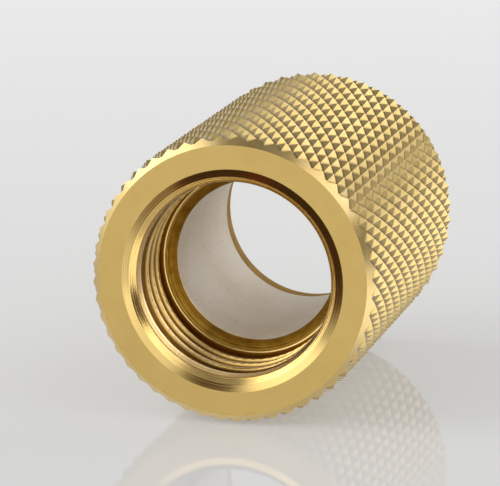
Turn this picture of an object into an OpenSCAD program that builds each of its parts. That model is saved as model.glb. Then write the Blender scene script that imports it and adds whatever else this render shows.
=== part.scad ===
// Knurled, internally threaded sleeve with a tube-shaped liner and the conical
// seat ring that holds the liner in. The sleeve lies on its side: its axis
// runs along Y, the threaded end faces -Y, and it touches the ground at Z = 0.

/* [Sleeve] */
// Outside diameter over the tips of the knurl
outside_d = 22; // [21.5:0.1:24]
// Number of knurl teeth round the sleeve
knurl_teeth = 49; // [40:1:60]
// Overall length, face to face
length = 31.2; // [29:0.1:40]
// Radial width of the chamfer at each end of the knurl
end_chamfer = 0.75; // [0.4:0.05:1]
// Axial depth of the same chamfer
end_chamfer_depth = 0.85; // [0.4:0.05:1.2]
// Inside diameter of the flat end faces
face_inner_d = 16.9; // [16.6:0.1:18]
// Diameter where the polished bevel meets the lead-in cone
mouth_d = 15.8; // [15.2:0.1:16.4]

/* [Thread] */
// Major diameter of the internal thread
thread_d = 16; // [15.8:0.1:16.4]
// Pitch of the thread
thread_pitch = 1.5; // [1:0.25:1.5]
// Diameter at the bottom of the lead-in cone
lead_in_d = 14.76; // [14.4:0.02:15]
// Depth of the lead-in cone below the front face
lead_in_depth = 1.7; // [1.2:0.05:2]
// Depth at which the bore has narrowed to the thread's minor diameter
thread_start = 2.6; // [2.2:0.05:3]
// Number of thread grooves
thread_turns = 2; // [1:1:4]

/* [Liner and seat] */
// Diameter of the plain bore that holds the liner and the seat ring
liner_od = 14.04; // [13.8:0.02:14.06]
// Inside diameter of the liner
liner_id = 13.42; // [13:0.02:13.8]
// Length of the liner
liner_length = 17.9; // [14:0.1:18.5]
// Smallest diameter, at the seat ring's inner edge
seat_hole_d = 12.42; // [11.5:0.02:12.8]
// Thickness of the seat ring
seat_thickness = 1.06; // [0.9:0.02:1.6]
// Width of the relief groove between the thread and the seat ring
relief_width = 0.78; // [0.6:0.02:1.2]

/* [Hidden] */
$fn = 180;

outside_r = outside_d / 2;
// The sleeve rests on the flat between two neighbouring tips.
axis_height = outside_r * cos(180 / knurl_teeth);
face_outer_r = outside_r - end_chamfer;
face_inner_r = face_inner_d / 2;
mouth_r = mouth_d / 2;
bevel_depth = 0.1;

// Metric thread form: the groove is 60 degrees, with a flat crest of a quarter
// of the pitch and a flat root of an eighth.
thread_major_r = thread_d / 2;
thread_minor_r = thread_major_r - 0.5413 * thread_pitch;
groove_mouth = 0.75 * thread_pitch;
groove_root = thread_pitch / 8;
crest = thread_pitch - groove_mouth;
run_in = 0.35;
thread_end = thread_start + run_in + thread_turns * thread_pitch + crest;

relief_r = thread_major_r + 0.1;
bore_edge = 0.05;
seat_front = thread_end + relief_width;
liner_front = seat_front + seat_thickness;
liner_back = liner_front + liner_length;
liner_r = liner_od / 2;

// The lip behind the liner opens slightly, then the rear mouth flares out.
lip_front_r = liner_id / 2;
lip_back_r = lip_front_r + 0.26;
lip_length = 2.2;
lip_back = liner_back + lip_length;
rear_bevel = length - bevel_depth;

// Seat ring: a narrow rim, a steep inner wall, then the shallow seating cone.
rim_width = 0.03;
rim_wall_r = liner_r - rim_width - 0.04;
rim_wall_depth = 0.22;
seat_edge = 0.24;
seat_hole_r = seat_hole_d / 2;

// Spins an outline of [radius, depth below the front face] about the axis.
module turned(outline) {
    on_axis() rotate_extrude() polygon(outline);
}

// Places a shape that is built up from the front face along +Z.
module on_axis() {
    translate([0, -length / 2, axis_height])
        rotate([-90, 0, 0])
            children();
}

// The drum over the tips of the knurl, one side per tooth and a side down.
module tip_drum() {
    on_axis()
        linear_extrude(length)
            polygon([for (i = [0 : knurl_teeth - 1])
                let (turn = 90 + (i + 0.5) * 360 / knurl_teeth)
                outside_r * [cos(turn), sin(turn)]]);
}

// Outline of one turn of the thread, as [radius, depth] points.
function thread_groove(i) =
    let (
        from = thread_start + run_in + crest + i * thread_pitch,
        slope = (groove_mouth - groove_root) / 2
    ) [
        [thread_minor_r, from],
        [thread_major_r, from + slope],
        [thread_major_r, from + slope + groove_root],
        [thread_minor_r, from + groove_mouth]
    ];

module knurled_sleeve() {
    front_mouth = [
        [face_outer_r, 0],
        [face_inner_r, 0],
        [mouth_r, bevel_depth],
        [lead_in_d / 2, lead_in_depth],
        [thread_minor_r, thread_start]
    ];
    thread = [for (i = [0 : thread_turns - 1]) each thread_groove(i)];
    seat_and_liner_bore = [
        [thread_minor_r, thread_end],
        [relief_r, thread_end],
        [relief_r, seat_front],
        [liner_r + bore_edge, seat_front],
        [liner_r, seat_front + bore_edge],
        [liner_r, liner_back]
    ];
    lip_and_rear_mouth = [
        [lip_front_r, liner_back],
        [lip_back_r, lip_back],
        [mouth_r, rear_bevel],
        [face_inner_r, length],
        [face_outer_r, length]
    ];
    // The chamfers run on past the knurl's tips, where the drum cuts them off.
    past = 1.4;
    outside = [
        [face_outer_r + past * end_chamfer, length - past * end_chamfer_depth],
        [face_outer_r + past * end_chamfer, past * end_chamfer_depth]
    ];
    color([0.80, 0.65, 0.36])
        intersection() {
            turned(concat(front_mouth, thread, seat_and_liner_bore,
                          lip_and_rear_mouth, outside));
            tip_drum();
        }
}

module bore_liner() {
    color([0.68, 0.66, 0.63])
        turned([
            [liner_r, liner_front],
            [lip_front_r, liner_front],
            [lip_front_r, liner_back],
            [liner_r, liner_back]
        ]);
}

module seat_ring() {
    color([0.62, 0.44, 0.16])
        turned([
            [liner_r, seat_front + bore_edge],
            [liner_r - rim_width, seat_front + bore_edge],
            [rim_wall_r, seat_front + rim_wall_depth],
            [seat_hole_r, liner_front - seat_edge],
            [seat_hole_r, liner_front],
            [liner_r, liner_front]
        ]);
}

knurled_sleeve();
bore_liner();
seat_ring();
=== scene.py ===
"""A brass-coloured knurled sleeve with an internal thread, lying on a pale table.

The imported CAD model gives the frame. This script replaces its plain solids with
detailed ones: a true diamond knurl cut back by the end chamfers, a helical
thread, a turned seat ring and a dull grey liner.
"""
import math

import bpy
import numpy as np
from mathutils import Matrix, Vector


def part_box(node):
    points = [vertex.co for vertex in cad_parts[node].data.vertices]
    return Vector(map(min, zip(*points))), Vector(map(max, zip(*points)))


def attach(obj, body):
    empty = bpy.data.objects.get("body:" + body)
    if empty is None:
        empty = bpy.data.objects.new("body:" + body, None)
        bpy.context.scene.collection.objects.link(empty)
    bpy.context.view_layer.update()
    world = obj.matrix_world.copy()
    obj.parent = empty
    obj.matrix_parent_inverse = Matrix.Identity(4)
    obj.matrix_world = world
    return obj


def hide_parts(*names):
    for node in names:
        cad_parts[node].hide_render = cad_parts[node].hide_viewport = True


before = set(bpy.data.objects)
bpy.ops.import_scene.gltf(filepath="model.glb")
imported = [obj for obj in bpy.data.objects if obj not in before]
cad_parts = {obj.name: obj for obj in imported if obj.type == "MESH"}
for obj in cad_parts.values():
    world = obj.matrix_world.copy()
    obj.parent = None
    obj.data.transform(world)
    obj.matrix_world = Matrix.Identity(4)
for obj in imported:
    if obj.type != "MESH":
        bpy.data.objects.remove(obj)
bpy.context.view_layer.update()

MM = 0.001

# ------------------------------------------------------------------ dimensions
# Places come from the frame. The rest repeats the design's own sizes. Both are
# in mm, and a depth is counted from the sleeve's front face.
sleeve_low, sleeve_high = (np.array(p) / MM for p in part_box("knurled_sleeve"))
seat_low, seat_high = (np.array(p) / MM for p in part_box("seat_ring"))
liner_low, liner_high = (np.array(p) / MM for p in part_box("bore_liner"))

LENGTH = sleeve_high[1] - sleeve_low[1]
FRONT_Y = sleeve_low[1]
AXIS_Z = (liner_high[2] + liner_low[2]) / 2
TIP_R = sleeve_high[2] - AXIS_Z

END_CHAMFER = 0.75
END_CHAMFER_DEPTH = 0.85
FACE_OUTER_R = TIP_R - END_CHAMFER
FACE_INNER_R = 8.45
MOUTH_R = 7.9
BEVEL_DEPTH = 0.1

CONE_FOOT_R = 7.42
CONE_FOOT_DEPTH = 0.53
LEAD_IN_R = 7.38
LEAD_IN_DEPTH = 1.7

THREAD_PITCH = 1.5
THREAD_MAJOR_R = 8.0
THREAD_DEPTH = 0.5413 * THREAD_PITCH
THREAD_MINOR_R = THREAD_MAJOR_R - THREAD_DEPTH
THREAD_START = 2.6
THREAD_END = 6.625
THREAD_ROOT = 4.55       # depth of a root on the sleeve's right side
THREAD_FADE_START = 1.6  # depth at which the thread begins to cut in
THREAD_FADE = 0.9        # length over which it reaches its full section

SEAT_FRONT = seat_low[1] - FRONT_Y
BORE_EDGE = 0.05
SEAT_EDGE = SEAT_FRONT - BORE_EDGE
LINER_FRONT = liner_low[1] - FRONT_Y
LINER_BACK = liner_high[1] - FRONT_Y
LINER_R = (liner_high[0] - liner_low[0]) / 2
LINER_BORE_R = 6.71
SEAT_HOLE_R = 6.21
SEAT_HOLE_LENGTH = 0.24
RIM_FOOT_R = LINER_R - 0.13
RIM_FOOT = SEAT_FRONT + 0.12
RIM_WIDTH = 0.06
RIM_PROUD = 0.015
RIM_OVERLAP = 0.01
LIP_BACK = LINER_BACK + 2.2
LIP_BACK_R = LINER_BORE_R + 0.26
RELIEF_R = THREAD_MAJOR_R + 0.1

# Diamond knurl: 49 grooves each way round, and a diamond every 2.59 mm along.
KNURL_COUNT = 49
KNURL_ROW = 2.59
KNURL_OFFSET = 1.1       # how far before the front face the rows are counted from
KNURL_DEPTH = 0.50       # height of a pyramid, if its tip were sharp

# Shares of that height.
KNURL_BLUNT = 0.86       # where a pyramid is cut off flat
GROOVE_ROUNDING = 0.05
GROOVE_LIFT = 0.02       # takes off part of what the rounding fills in
UNEVENNESS = 0.018       # spread of the pyramids' heights
UNEVEN_ABOVE = 0.3       # below this the grooves stay even

WELD = 0.002             # size of the cells in which points are joined
ON_CHAMFER = 0.02        # points this close to a chamfer count as lying on it


# ---------------------------------------------------------------- mesh helpers
def to_world(r, depth, turn):
    """Cylinder coordinates, in mm, to a list of points in world metres.

    turn runs from +X to +Z.
    """
    r, depth, turn = np.broadcast_arrays(r, depth, turn)
    points = np.stack([r * np.cos(turn), FRONT_Y + depth,
                       AXIS_Z + r * np.sin(turn)], axis=-1)
    return points.reshape(-1, 3) * MM


def new_object(name, verts, faces, material, sharp_deg=25):
    """Makes a smooth-shaded mesh object with its sharper edges kept crisp."""
    mesh = bpy.data.meshes.new(name)
    mesh.from_pydata(verts.tolist(), [], faces.tolist())
    mesh.validate()
    mesh.shade_smooth()
    mesh.set_sharp_from_angle(angle=math.radians(sharp_deg))
    mesh.materials.append(material)
    obj = bpy.data.objects.new(name, mesh)
    bpy.context.scene.collection.objects.link(obj)
    return obj


def grid_faces(rows, cols, wrap_rows=False):
    """Quads of a rows by cols grid whose last column joins the first."""
    i, j = np.meshgrid(np.arange(rows if wrap_rows else rows - 1),
                       np.arange(cols), indexing="ij")
    i2, j2 = (i + 1) % rows, (j + 1) % cols
    quads = [i * cols + j, i2 * cols + j, i2 * cols + j2, i * cols + j2]
    return np.stack(quads, axis=-1).reshape(-1, 4)


def filleted(outline, radius, closed=False, steps=3):
    """Rounds an outline's corners with small arcs of about the given radius."""
    longest = 0.4    # the share of a side that a corner may use
    pts = [np.array(p, float) for p in outline]
    out = [] if closed else [pts[0]]
    corners = range(len(pts)) if closed else range(1, len(pts) - 1)
    for k in corners:
        here, before, after = pts[k], pts[k - 1], pts[(k + 1) % len(pts)]
        back, ahead = before - here, after - here
        reach = min(radius, longest * np.linalg.norm(back),
                    longest * np.linalg.norm(ahead))
        a = here + back / np.linalg.norm(back) * reach
        b = here + ahead / np.linalg.norm(ahead) * reach
        for s in np.linspace(0, 1, steps + 1):
            out.append((1 - s) ** 2 * a + 2 * s * (1 - s) * here + s * s * b)
    if not closed:
        out.append(pts[-1])
    return np.array(out)


def lathe(outline, closed=False):
    """Spins an outline of (radius, depth) into vertices and quads."""
    cols = 360
    turn = np.linspace(0, 2 * math.pi, cols, endpoint=False)
    verts = to_world(outline[:, :1], outline[:, 1:], turn)
    return verts, grid_faces(len(outline), cols, wrap_rows=closed)


def split_where(verts, tris, value):
    """Cuts triangles along value = 0, so that none lies on both sides."""
    side = value > 0
    crossed = side[tris].any(axis=1) & ~side[tris].all(axis=1)
    kept = [tris[~crossed]]
    verts, value = list(verts), list(value)
    cut = {}

    def crossing(p, q):
        key = (min(p, q), max(p, q))
        if key not in cut:
            s = value[p] / (value[p] - value[q])
            verts.append(verts[p] * (1 - s) + verts[q] * s)
            value.append(0.0)
            cut[key] = len(verts) - 1
        return cut[key]

    pieces = []
    for tri in tris[crossed]:
        above = [bool(side[v]) for v in tri]
        lone = above.index(sum(above) == 1)
        a, b, c = (int(tri[(lone + k) % 3]) for k in range(3))
        ab, ac = crossing(a, b), crossing(a, c)
        pieces += [(a, ab, ac), (ab, b, c), (ab, c, ac)]
    kept.append(np.array(pieces, int).reshape(-1, 3))
    return np.array(verts), np.concatenate(kept), np.array(value)


# ------------------------------------------------------------------- the knurl
def knurl_skin():
    """The knurled outside, chamfered at both ends.

    Two families of V grooves cross. With a and b counting the grooves of each
    family, a cell between them is one pyramid, so the mesh follows a and b.
    Returns the vertices, the triangles, and for each triangle whether it is
    part of a chamfer.
    """
    # The mesh's lines within a cell, closest at the grooves and at the top.
    edges = np.array([0, 0.07, 0.27, 0.47, 0.53, 0.73, 0.93, 1])
    n = len(edges)
    rng = np.random.default_rng(7)
    rows = int(LENGTH / KNURL_ROW) + 4

    # A cell is (across, along): across counts a + b, along counts a - b.
    count = KNURL_COUNT
    jitter = rng.normal(0, UNEVENNESS, (2 * count, 4 * rows))
    a_cells, b_cells = [], []
    for along in range(-2, 2 * rows - 2):
        for across in range(along % 2, 2 * count, 2):
            a_cells.append((across + along) // 2)
            b_cells.append((across - along) // 2)
    a0, b0 = np.array(a_cells), np.array(b_cells)

    i, j = np.meshgrid(np.arange(n), np.arange(n), indexing="ij")
    a = a0[:, None, None] + edges[i]
    b = b0[:, None, None] + edges[j]

    def groove(x):
        t = 1 - np.abs(2 * (x - np.floor(x)) - 1)
        rounded = np.hypot(t, GROOVE_ROUNDING) - GROOVE_LIFT
        return np.minimum(rounded, KNURL_BLUNT)

    height = np.minimum(groove(a), groove(b))
    cell = ((a0 + b0) % (2 * count), (a0 - b0 + 2) % (4 * rows))
    height = height * (1 + jitter[cell][:, None, None]
                       * (height > UNEVEN_ABOVE))
    # The sleeve lies on its tips, so they reach as far out as the axis is high.
    r = AXIS_Z - KNURL_DEPTH * (KNURL_BLUNT - np.clip(height, 0, KNURL_BLUNT))
    turn = math.pi * (a + b) / count
    depth = (a - b) * KNURL_ROW / 2 - KNURL_OFFSET

    verts = np.stack([r * np.cos(turn), depth, r * np.sin(turn)], axis=-1)
    base = (np.arange(len(a0)) * n ** 2)[:, None, None]
    corner = base + (i * n + j)[None]
    p00, p10 = corner[:, :-1, :-1], corner[:, 1:, :-1]
    p01, p11 = corner[:, :-1, 1:], corner[:, 1:, 1:]
    low = edges[:-1] < 0.5
    same = (low[:, None] == low[None, :])[None] & np.ones_like(p00, bool)
    # Each pyramid's ridges run along its diagonals, so the quads split there.
    tris = np.concatenate([
        np.stack([p00[same], p10[same], p11[same]], axis=-1),
        np.stack([p00[same], p11[same], p01[same]], axis=-1),
        np.stack([p00[~same], p10[~same], p01[~same]], axis=-1),
        np.stack([p10[~same], p11[~same], p01[~same]], axis=-1),
    ])
    verts = verts.reshape(-1, 3)

    # Weld the cells' shared edges.
    key = np.round(verts / WELD).astype(np.int64)
    _, first, index = np.unique(key, axis=0, return_index=True,
                                return_inverse=True)
    verts, tris = verts[first], index.reshape(-1)[tris]

    def radius(v):
        return np.hypot(v[:, 0], v[:, 2])

    def chamfer_r(v):
        from_end = np.minimum(v[:, 1], LENGTH - v[:, 1])
        return FACE_OUTER_R + from_end * END_CHAMFER / END_CHAMFER_DEPTH

    # Cut what stands above the chamfers, then what lies past the end faces.
    verts, tris, over = split_where(verts, tris,
                                    radius(verts) - chamfer_r(verts))
    clip = over > 0
    scale = chamfer_r(verts[clip]) / radius(verts[clip])
    verts[clip, 0] *= scale
    verts[clip, 2] *= scale
    for beyond in (lambda v: -v[:, 1], lambda v: v[:, 1] - LENGTH):
        verts, tris, out = split_where(verts, tris, beyond(verts))
        tris = tris[(out[tris] <= 0).all(axis=1)]
    tris = tris[(tris[:, 0] != tris[:, 1]) & (tris[:, 1] != tris[:, 2])
                & (tris[:, 0] != tris[:, 2])]
    used, index = np.unique(tris, return_inverse=True)
    verts, tris = verts[used], index.reshape(tris.shape)
    on_chamfer = np.abs(radius(verts) - chamfer_r(verts)) < ON_CHAMFER
    chamfered = on_chamfer[tris].all(axis=1)
    return (verts + [0, FRONT_Y, AXIS_Z]) * MM, tris[:, ::-1], chamfered


# ------------------------------------------------------------------ the thread
def thread_grid():
    """The helical thread, from the end of the lead-in on."""
    rows, cols = 230, 540
    depth = np.linspace(LEAD_IN_DEPTH, THREAD_END, rows)[:, None]
    turn = np.linspace(0, 2 * math.pi, cols, endpoint=False)[None, :]
    run_in = np.interp(depth, [LEAD_IN_DEPTH, THREAD_START],
                       [LEAD_IN_R, THREAD_MINOR_R])

    # A right-handed thread goes deeper clockwise, seen from the front.
    phase = (depth - THREAD_ROOT) / THREAD_PITCH + turn / (2 * math.pi)
    across = np.abs(phase - np.round(phase)) * THREAD_PITCH
    # Half of the root's flat, and half of the groove's width at the crests.
    flat, mouth = THREAD_PITCH / 16, 0.375 * THREAD_PITCH
    cut = np.clip((mouth - across) / (mouth - flat), 0, 1)
    fade = np.clip((depth - THREAD_FADE_START) / THREAD_FADE, 0, 1)
    r = np.maximum(run_in, THREAD_MINOR_R + THREAD_DEPTH * cut * fade)
    return to_world(r, depth, turn), grid_faces(rows, cols)


# --------------------------------------------------------------------- shading
# Scales of the noise textures, per metre, and the height of the fine relief.
WEAR_SCALE = 900
SPECK_SCALE = 5200
GRAIN_SCALE = 9000
RELIEF_MM = 0.02
SPECK_FADE = 0.03
SPECK_COLOUR = (0.09, 0.05, 0.02)


def between(nodes, links, value, dark, light):
    """A colour that goes from dark to light as a noise value rises."""
    node = nodes.new("ShaderNodeValToRGB")
    low, high = node.color_ramp.elements
    low.position, low.color = 0.3, (*dark, 1)
    high.position, high.color = 0.7, (*light, 1)
    links.new(value, node.inputs["Fac"])
    return node.outputs["Color"]


def noise(nodes, links, vector, scale, detail):
    """A noise texture over a vector, in metres."""
    node = nodes.new("ShaderNodeTexNoise")
    node.inputs["Scale"].default_value = scale
    node.inputs["Detail"].default_value = detail
    node.inputs["Roughness"].default_value = 0.55
    links.new(vector, node.inputs["Vector"])
    return node.outputs["Fac"]


def remapped(nodes, links, value, low, high, to_low=0.0, to_high=1.0):
    """Maps the range low to high of a value onto to_low to to_high."""
    node = nodes.new("ShaderNodeMapRange")
    node.inputs["From Min"].default_value = low
    node.inputs["From Max"].default_value = high
    node.inputs["To Min"].default_value = to_low
    node.inputs["To Max"].default_value = to_high
    links.new(value, node.inputs["Value"])
    return node.outputs["Result"]


def axis_coords(nodes, links, place):
    """The radius from the sleeve's axis, and (radius, y) as a vector."""
    split = nodes.new("ShaderNodeSeparateXYZ")
    links.new(place, split.inputs[0])
    up = nodes.new("ShaderNodeMath")
    up.operation = "SUBTRACT"
    up.inputs[1].default_value = AXIS_Z * MM
    links.new(split.outputs["Z"], up.inputs[0])
    flat = nodes.new("ShaderNodeCombineXYZ")
    links.new(split.outputs["X"], flat.inputs["X"])
    links.new(up.outputs[0], flat.inputs["Z"])
    length = nodes.new("ShaderNodeVectorMath")
    length.operation = "LENGTH"
    links.new(flat.outputs[0], length.inputs[0])
    out = nodes.new("ShaderNodeCombineXYZ")
    links.new(length.outputs["Value"], out.inputs["X"])
    links.new(split.outputs["Y"], out.inputs["Y"])
    return length.outputs["Value"], out.outputs[0]


def mixed(nodes, links, factor, colour, other):
    """Mixes a plain colour into a colour, by a factor."""
    # Inputs 6 and 7 and output 2 of a Mix node are the ones for colours.
    mix = nodes.new("ShaderNodeMix")
    mix.data_type = "RGBA"
    links.new(factor, mix.inputs["Factor"])
    links.new(colour, mix.inputs[6])
    mix.inputs[7].default_value = (*other, 1)
    return mix.outputs[2]


def metal(name, light, dark, roughness, turned=0.0, grain=0.0, spread=0.06,
          metallic=1.0, specular=0.5, groove_shade=None, specks=None, marks=16000,
          clouds=420):
    """Metal with mottled colour, turning marks round the axis and fine grain.

    spread is how far the roughness varies either way. groove_shade, (radius where
    it starts, radius where it is full, colour) in mm, is painted shade: a darker
    colour deep in the grooves.
    specks is the noise level above which a tiny dark speck shows. marks and
    clouds are the scales of the turning marks and of the mottling.
    """
    mat = bpy.data.materials.new(name)
    mat.use_nodes = True
    nodes, links = mat.node_tree.nodes, mat.node_tree.links
    shader = nodes["Principled BSDF"]
    shader.inputs["Metallic"].default_value = metallic
    shader.inputs["Specular IOR Level"].default_value = specular
    place = nodes.new("ShaderNodeTexCoord").outputs["Object"]
    radius, around = axis_coords(nodes, links, place)

    clouding = noise(nodes, links, place, clouds, detail=5)
    colour = between(nodes, links, clouding, dark, light)
    # Painted shade: the colour darkens with the radius, towards the bottoms of
    # the grooves.
    if groove_shade:
        shade_start_r, shade_full_r, shade_colour = groove_shade
        share = remapped(nodes, links, radius, shade_start_r * MM, shade_full_r * MM)
        colour = mixed(nodes, links, share, colour, shade_colour)
    if specks:
        dots = remapped(nodes, links,
                        noise(nodes, links, place, SPECK_SCALE, detail=1),
                        specks, specks + SPECK_FADE)
        colour = mixed(nodes, links, dots, colour, SPECK_COLOUR)
    links.new(colour, shader.inputs["Base Color"])

    wear = noise(nodes, links, place, WEAR_SCALE, detail=3)
    level = remapped(nodes, links, wear, 0, 1, roughness - spread,
                     roughness + spread)
    links.new(level, shader.inputs["Roughness"])

    normal = None
    for strength, vector, scale in ((turned, around, marks),
                                    (grain, place, GRAIN_SCALE)):
        if strength:
            bump = nodes.new("ShaderNodeBump")
            bump.inputs["Strength"].default_value = min(strength, 1)
            bump.inputs["Distance"].default_value = (RELIEF_MM * MM
                                                     * max(strength, 1))
            links.new(noise(nodes, links, vector, scale, detail=2),
                      bump.inputs["Height"])
            if normal:
                links.new(normal, bump.inputs["Normal"])
            normal = bump.outputs["Normal"]
    if normal:
        links.new(normal, shader.inputs["Normal"])
    return mat


# Painted shade: the knurl's colour darkens to brown towards the bottoms of its
# grooves.
mat_knurl = metal("brass_knurl", (0.84, 0.63, 0.25), (0.74, 0.53, 0.17), 0.30,
                  grain=0.5,
                  groove_shade=(TIP_R - 0.30, TIP_R - 0.44, (0.30, 0.18, 0.05)))
mat_face = metal("brass_face", (0.82, 0.59, 0.20), (0.78, 0.55, 0.18), 0.34,
                 turned=0.25, grain=0.3, specks=0.80)
mat_chamfer = metal("brass_chamfer", (0.90, 0.68, 0.32), (0.82, 0.58, 0.22),
                    0.26, turned=0.3, grain=0.2)
mat_bright = metal("brass_polished", (0.82, 0.59, 0.22), (0.76, 0.53, 0.18),
                   0.08, turned=0.25, spread=0.02)
mat_lead_in = metal("brass_lead_in", (0.94, 0.68, 0.26), (0.86, 0.58, 0.19),
                   0.17, turned=1.2, grain=0.2, marks=9000)
# The relief groove's brass is painted dark brown: painted shade of the narrow,
# deep groove.
mat_relief = metal("brass_relief", (0.34, 0.12, 0.010), (0.24, 0.08, 0.005),
                   0.4, turned=0.6, grain=0.3)
# The thread's brass is painted darker than the face's, as shade inside the bore,
# and its groove roots darker still, as painted shade.
mat_thread = metal("brass_thread", (0.70, 0.49, 0.18), (0.60, 0.41, 0.13),
                   0.24, turned=0.5, grain=0.25,
                   groove_shade=(THREAD_MINOR_R + 0.04, THREAD_MINOR_R + 0.2,
                         (0.13, 0.055, 0.008)))
mat_seat = metal("brass_seat", (0.54, 0.32, 0.05), (0.34, 0.18, 0.018), 0.32,
                 turned=2.2, grain=0.4, clouds=1400, marks=8000)
mat_lip = metal("brass_lip", (0.56, 0.36, 0.09), (0.42, 0.25, 0.05), 0.7,
                turned=0.4, grain=0.3, metallic=0.0, specular=0.05)
mat_liner = metal("liner_grey", (0.90, 0.86, 0.78), (0.80, 0.69, 0.53), 0.5,
                  grain=0.6, metallic=0.0, specks=0.73, clouds=150)

# ------------------------------------------------------------------ the pieces
root = "root"
knurl_verts, knurl_tris, chamfered = knurl_skin()
knurl = new_object("sleeve_knurl", knurl_verts, knurl_tris, mat_knurl,
                   sharp_deg=20)
knurl.data.materials.append(mat_chamfer)
knurl.data.polygons.foreach_set("material_index", chamfered.astype(np.int32))
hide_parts("knurled_sleeve")

front_face = np.array([(FACE_OUTER_R, 0), (FACE_INNER_R, 0)])
bevel = np.array([(FACE_INNER_R, 0), (MOUTH_R, BEVEL_DEPTH)])
# The lead-in is a steep cone, then a nearly straight part up to the thread.
lead_in = filleted([(MOUTH_R, BEVEL_DEPTH), (CONE_FOOT_R, CONE_FOOT_DEPTH),
                    (LEAD_IN_R, LEAD_IN_DEPTH)], radius=0.12, steps=6)
lip_outline = filleted([
    (LINER_R, SEAT_FRONT), (LINER_R, LINER_BACK),
    (LINER_BORE_R, LINER_BACK), (LIP_BACK_R, LIP_BACK)], radius=0.02)
rear_mouth = filleted([
    (LIP_BACK_R, LIP_BACK), (MOUTH_R, LENGTH - BEVEL_DEPTH),
    (FACE_INNER_R, LENGTH), (FACE_OUTER_R, LENGTH)], radius=0.02)
# The bright rim of the seat ring stands just proud of the bore's edge.
rim_outline = filleted([
    (LINER_R + BORE_EDGE + RIM_OVERLAP, SEAT_EDGE - RIM_PROUD),
    (LINER_R - RIM_WIDTH, SEAT_EDGE - RIM_PROUD / 3),
    (RIM_FOOT_R - RIM_OVERLAP, RIM_FOOT)], radius=0.08, steps=6)
relief_wall = filleted([
    (THREAD_MINOR_R, THREAD_END), (RELIEF_R, THREAD_END),
    (RELIEF_R, SEAT_EDGE), (LINER_R + BORE_EDGE, SEAT_EDGE),
    (LINER_R, SEAT_FRONT)], radius=0.03)

face = new_object("sleeve_front_face", *lathe(front_face), mat_face)
lead = new_object("sleeve_bevel", *lathe(bevel), mat_bright)
cone = new_object("sleeve_lead_in", *lathe(lead_in), mat_lead_in)
thread = new_object("sleeve_thread", *thread_grid(), mat_thread)
relief = new_object("sleeve_relief", *lathe(relief_wall), mat_relief)
lip = new_object("sleeve_lip", *lathe(lip_outline), mat_lip)
rear = new_object("sleeve_rear", *lathe(rear_mouth), mat_face)
rim = new_object("seat_rim", *lathe(rim_outline), mat_bright)

seat_outline = filleted([
    (LINER_R, SEAT_FRONT), (LINER_R - 0.03, SEAT_FRONT),
    (RIM_FOOT_R, RIM_FOOT),
    (SEAT_HOLE_R, LINER_FRONT - SEAT_HOLE_LENGTH), (SEAT_HOLE_R, LINER_FRONT),
    (LINER_R, LINER_FRONT)], radius=0.03, closed=True)
seat = new_object("seat_ring_turned", *lathe(seat_outline, closed=True),
                  mat_seat)
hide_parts("seat_ring")

liner_outline = filleted([
    (LINER_R, LINER_FRONT), (LINER_BORE_R, LINER_FRONT),
    (LINER_BORE_R, LINER_BACK), (LINER_R, LINER_BACK)],
    radius=0.05, closed=True)
liner = new_object("liner_tube", *lathe(liner_outline, closed=True),
                   mat_liner)
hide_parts("bore_liner")

for piece in (knurl, face, lead, cone, thread, relief, lip, rear):
    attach(piece, root)
for piece in (seat, rim):
    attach(piece, root)
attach(liner, root)

# ------------------------------------------------------------------- the table
HALF_TABLE = 3.0    # metres
table_mesh = bpy.data.meshes.new("table")
table_mesh.from_pydata([(HALF_TABLE * x, HALF_TABLE * y, 0)
                        for x, y in ((-1, -1), (1, -1), (1, 1), (-1, 1))],
                       [], [(0, 1, 2, 3)])
table = bpy.data.objects.new("table", table_mesh)
bpy.context.scene.collection.objects.link(table)
# In reflections the light panels stand in for the table.
table.visible_glossy = False
mat_table = bpy.data.materials.new("table_white")
mat_table.use_nodes = True
table_shader = mat_table.node_tree.nodes["Principled BSDF"]
table_shader.inputs["Base Color"].default_value = (0.34, 0.34, 0.34, 1)
table_shader.inputs["Roughness"].default_value = 0.05
table_shader.inputs["Specular IOR Level"].default_value = 0.06
# A lit acrylic sheet: part of its light comes from below.
table_shader.inputs["Emission Color"].default_value = (1.0, 1.0, 0.99, 1)
table_shader.inputs["Emission Strength"].default_value = 0.295
table_mesh.materials.append(mat_table)

# ------------------------------------------------------------------- the light
world = bpy.data.worlds.new("studio")
bpy.context.scene.world = world
world.use_nodes = True
wn, wl = world.node_tree.nodes, world.node_tree.links
background = wn["Background"]
direction = wn.new("ShaderNodeTexCoord").outputs["Generated"]


def panel(azimuth, elevation, inner, outer, level, tint=(1, 1, 1)):
    """A soft round panel of light, or of shade, in one direction.

    The azimuth runs from the sleeve's front towards its right, in degrees, and
    the panel fades out between the inner and outer half-angles. A negative
    level takes light away. The tint multiplies the level.
    """
    az, el = math.radians(azimuth), math.radians(elevation)
    dot = wn.new("ShaderNodeVectorMath")
    dot.operation = "DOT_PRODUCT"
    dot.inputs[1].default_value = (math.sin(az) * math.cos(el),
                                   -math.cos(az) * math.cos(el), math.sin(el))
    wl.new(direction, dot.inputs[0])
    fall = wn.new("ShaderNodeMapRange")
    fall.interpolation_type = "SMOOTHSTEP"
    fall.inputs["From Min"].default_value = math.cos(math.radians(outer))
    fall.inputs["From Max"].default_value = math.cos(math.radians(inner))
    fall.inputs["To Max"].default_value = level
    wl.new(dot.outputs["Value"], fall.inputs["Value"])
    tinted = wn.new("ShaderNodeVectorMath")
    tinted.operation = "SCALE"
    tinted.inputs[0].default_value = tint
    wl.new(fall.outputs["Result"], tinted.inputs["Scale"])
    return tinted.outputs["Vector"]


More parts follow.
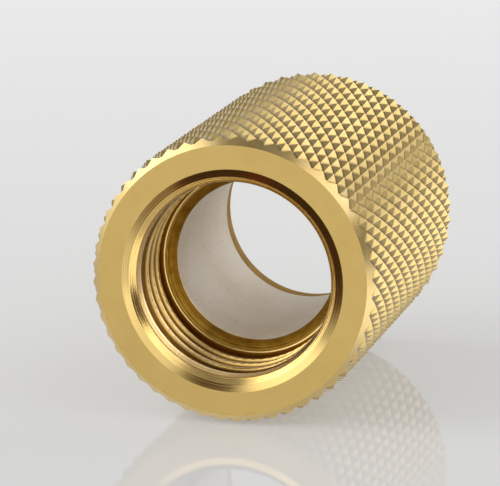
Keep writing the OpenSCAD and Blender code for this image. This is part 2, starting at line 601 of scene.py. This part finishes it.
AMBIENT = 0.42
DARKEST = (0.05, 0.03, 0.02)
WARM_SHADE = (0.88, 1.02, 1.12)
panels = [
    panel(136, 21, 18, 38, 0.76),     # the key, on the right and behind
    panel(152, -40, 18, 42, -0.26),   # the sleeve's own shade on the table
    panel(-165, 44, 14, 40, -0.22),   # the dark side, behind on the left
    panel(70, 43, 12, 26, 1.0),       # a tall light on the right, in two parts
    panel(80, -20, 12, 25, 0.8),
    panel(-100, 24, 10, 40, 0.45),    # the weaker fill on the left
    panel(176, 4, 22, 42, 0.57),      # the backdrop, seen low behind
    panel(0, -90, 60, 92, 0.22),      # light off the table
    panel(-22, -34, 9, 18, -0.60, WARM_SHADE),  # the dark room, in front
    panel(-38, -20, 9, 18, -0.60, WARM_SHADE),
    panel(-2, -32, 6, 16, -0.42, WARM_SHADE),
    panel(-9, 9, 3, 8, -0.40, WARM_SHADE),
    panel(-24, 4, 5, 11, 1.2),        # small lights in front
    panel(4, -1, 5, 12, 0.65),
    panel(-13, -12, 7, 17, 0.34),
    panel(-62, 6, 14, 34, 1.0),       # light into the bore from both sides
    panel(40, 17, 12, 27, 1.2),
    panel(156, 12, 8, 22, 0.9),       # a brighter patch at the key's edge
    panel(67, 10, 8, 17, -1.6),       # the gap in the tall light
    panel(-50, 30, 12, 25, 1.6),      # high lights on the left and in front
    panel(-80, 40, 14, 32, 1.4),
    panel(-16, 36, 8, 18, 1.6),
    panel(24, -11, 10, 23, 0.76),     # a low light in front on the right
    panel(-30, 80, 8, 30, -0.22),     # the dark ceiling
]
# The first panel is added to the ambient light, and each other one to the sum.
total = None
for p in panels:
    add = wn.new("ShaderNodeVectorMath")
    add.inputs[1].default_value = (AMBIENT, AMBIENT, AMBIENT)
    wl.new(p, add.inputs[0])
    if total is not None:
        wl.new(total, add.inputs[1])
    total = add.outputs["Vector"]
at_least = wn.new("ShaderNodeVectorMath")
at_least.operation = "MAXIMUM"
at_least.inputs[1].default_value = DARKEST
wl.new(total, at_least.inputs[0])
wl.new(at_least.outputs["Vector"], background.inputs["Color"])
background.inputs["Strength"].default_value = 1.0

# ------------------------------------------------------------------ the camera
VIEW_AZIMUTH, VIEW_ELEVATION = math.radians(13.39), math.radians(11.68)
SENSOR_MM = 36.0
LENS_MM = 277.632
# The camera stands DISTANCE mm before the front face's centre. Its line of sight
# passes that centre ASIDE mm to the right and ABOVE mm over it.
DISTANCE = 285.8
ASIDE = 1.37
ABOVE = 2.86
ca, sa = math.cos(VIEW_AZIMUTH), math.sin(VIEW_AZIMUTH)
ce, se = math.cos(VIEW_ELEVATION), math.sin(VIEW_ELEVATION)
forward = np.array([-sa * ce, ca * ce, -se])
right = np.array([ca, sa, 0])
up = np.cross(right, forward)
face_centre = np.array([0, FRONT_Y, AXIS_Z])
eye = face_centre + ASIDE * right + ABOVE * up - DISTANCE * forward

camera_data = bpy.data.cameras.new("camera")
camera_data.sensor_width = SENSOR_MM
camera_data.lens = LENS_MM
camera_data.clip_start = 0.01
camera = bpy.data.objects.new("camera", camera_data)
camera.location = (eye * MM).tolist()
camera.rotation_euler = (math.pi / 2 - VIEW_ELEVATION, 0, VIEW_AZIMUTH)
bpy.context.scene.collection.objects.link(camera)
bpy.context.scene.camera = camera
bpy.context.scene.view_settings.view_transform = "Standard"
bpy.context.scene.cycles.use_denoising = True
